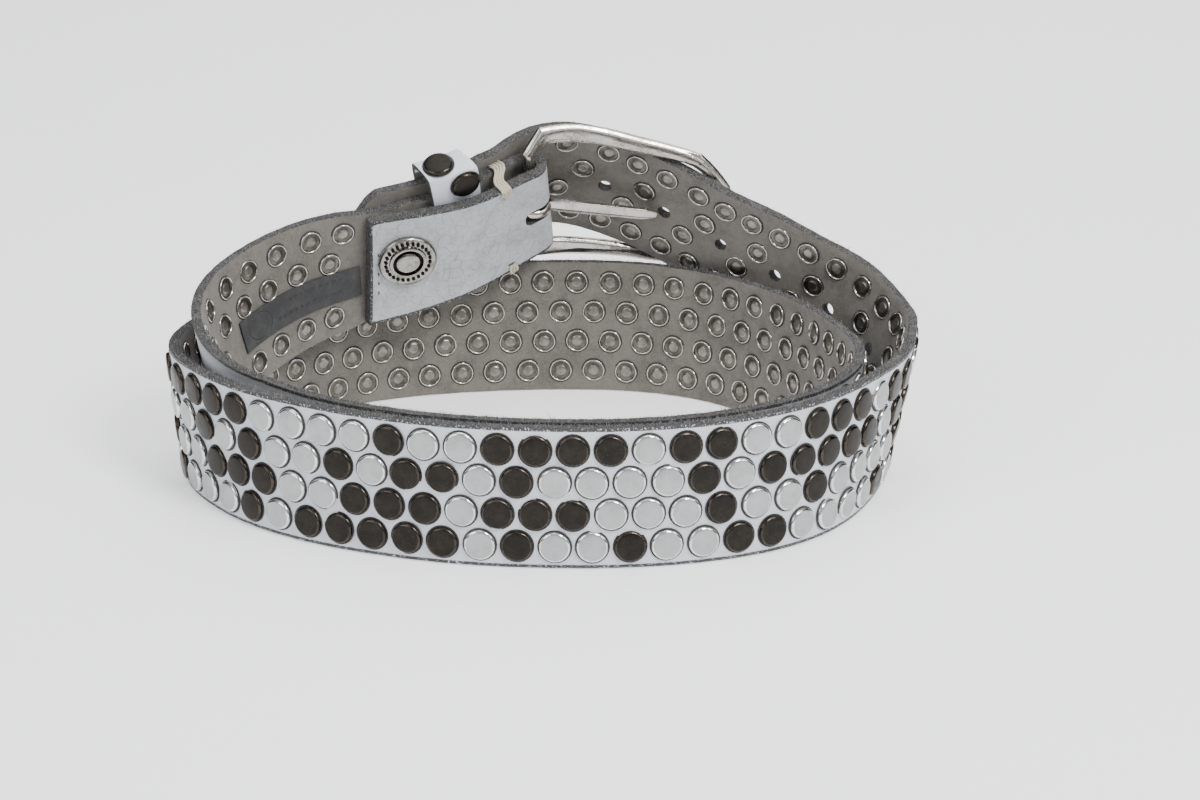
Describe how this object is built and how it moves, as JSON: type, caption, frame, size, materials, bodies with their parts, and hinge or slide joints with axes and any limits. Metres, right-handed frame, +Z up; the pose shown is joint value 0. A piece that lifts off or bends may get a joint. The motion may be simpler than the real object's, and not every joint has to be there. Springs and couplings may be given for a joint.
{
  "type": "studded belt",
  "caption": "Leather belt with rows of round flat studs, a frame buckle with a prong and a keeper, buckled and coiled in two turns on its lower edge.",
  "frame": {"origin": "on the floor, under the middle of the coiled belt's bounding box", "axes": "+X to the right along the coil's long side, +Y to the back where the buckle is, +Z up"},
  "size_m": [0.2152, 0.1624, 0.09],
  "materials": {
    "strap": "matt grain leather with raw edges",
    "buckle_frame": "antique silver, pitted",
    "buckle_prong": "antique silver, pitted",
    "keeper_loop": "matt white leather",
    "snap_button": "antique nickel",
    "size_label": "matt dark grey"
  },
  "bodies": {
    "root": {"strap": "strap", "buckle_frame": "buckle_frame", "buckle_prong": "buckle_prong", "keeper_loop": "keeper_loop", "snap_button": "snap_button", "size_label": "size_label"}
  },
  "joints": []
}
